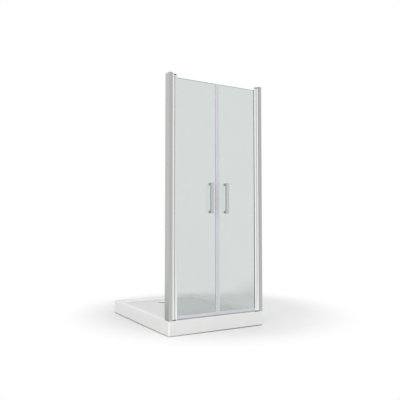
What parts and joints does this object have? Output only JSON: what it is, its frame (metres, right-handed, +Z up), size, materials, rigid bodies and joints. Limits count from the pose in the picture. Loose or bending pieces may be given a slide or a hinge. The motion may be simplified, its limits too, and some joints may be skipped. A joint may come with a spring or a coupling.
{
  "type": "shower enclosure",
  "caption": "Shower enclosure: a low rectangular tray on levelling feet with a front of framed glass swing doors that meet in the middle.",
  "frame": {"origin": "on the floor under the middle of the tray's footprint, at the underside of the middle foot", "axes": "+X to the right along the doors, +Y from the doors to the back of the tray, +Z up"},
  "size_m": [0.9, 1.231, 2.07],
  "materials": {
    "white_acrylic": "gloss",
    "base_board": "matt",
    "galvanised_steel": "satin",
    "screw_steel": "satin",
    "foot_plastic": "matt",
    "waste_chrome": "polished",
    "waste_rubber": "matt",
    "trap_plastic": "matt",
    "silver_profile": "silver anodised, satin",
    "bright_profile": "silver anodised, polished",
    "cap_plastic": "satin",
    "bracket_plastic": "matt",
    "bush_plastic": "matt",
    "glazing_rubber": "satin",
    "door_glass": "clear",
    "seal_plastic": "translucent",
    "magnet_rubber": "satin",
    "handle_chrome": "polished",
    "washer_plastic": "translucent"
  },
  "bodies": {
    "enclosure_frame": {"tray_shell": "white_acrylic", "base_board": "base_board", "support_rails": "galvanised_steel", "rail_screws": "screw_steel", "foot_pads": "foot_plastic", "foot_rods": "screw_steel", "foot_nuts": "screw_steel", "waste_flange": "waste_chrome", "waste_gasket": "waste_rubber", "trap_body": "trap_plastic", "wall_profile_left": "silver_profile", "wall_profile_right": "silver_profile", "wall_profile_cap_left": "cap_plastic", "wall_profile_cap_right": "cap_plastic", "post_profile_left": "bright_profile", "post_profile_right": "bright_profile", "post_screws_left": "screw_steel", "post_screws_right": "screw_steel", "lower_pivot_bracket_left": "bracket_plastic", "lower_pivot_bracket_right": "bracket_plastic", "upper_pivot_bracket_left": "bracket_plastic", "upper_pivot_bracket_right": "bracket_plastic", "pivot_pins_left": "screw_steel", "pivot_pins_right": "screw_steel"},
    "trap_cup": {"trap_cup": "trap_plastic"},
    "drain_cover": {"drain_cover": "waste_chrome"},
    "left_door": {"pivot_profile_left": "bright_profile", "pivot_bushes_left": "bush_plastic", "glazing_gasket_left": "glazing_rubber", "door_glass_left": "door_glass", "meeting_seal_left": "seal_plastic", "magnet_strip_left": "magnet_rubber", "bottom_seal_left": "seal_plastic", "handle_left": "handle_chrome", "handle_washers_left": "washer_plastic", "handle_screws_left": "handle_chrome"},
    "right_door": {"pivot_profile_right": "bright_profile", "pivot_bushes_right": "bush_plastic", "glazing_gasket_right": "glazing_rubber", "door_glass_right": "door_glass", "meeting_seal_right": "seal_plastic", "magnet_strip_right": "magnet_rubber", "bottom_seal_right": "seal_plastic", "handle_right": "handle_chrome", "handle_washers_right": "washer_plastic", "handle_screws_right": "handle_chrome"}
  },
  "joints": [
    {"name": "left_door_hinge", "type": "hinge", "parent": "enclosure_frame", "child": "left_door", "pos_m": [-0.3886, -0.588, 0.13], "axis": [0, 0, 1], "range_deg": [-90, 90]},
    {"name": "right_door_hinge", "type": "hinge", "parent": "enclosure_frame", "child": "right_door", "pos_m": [0.3886, -0.588, 0.13], "axis": [0, 0, 1], "range_deg": [-90, 90]},
    {"name": "trap_cup_lift", "type": "slide", "parent": "enclosure_frame", "child": "trap_cup", "axis": [0, 0, 1], "range_m": [0, 0.08]},
    {"name": "drain_cover_lift", "type": "slide", "parent": "trap_cup", "child": "drain_cover", "axis": [0, 0, 1], "range_m": [0, 0.05]}
  ]
}
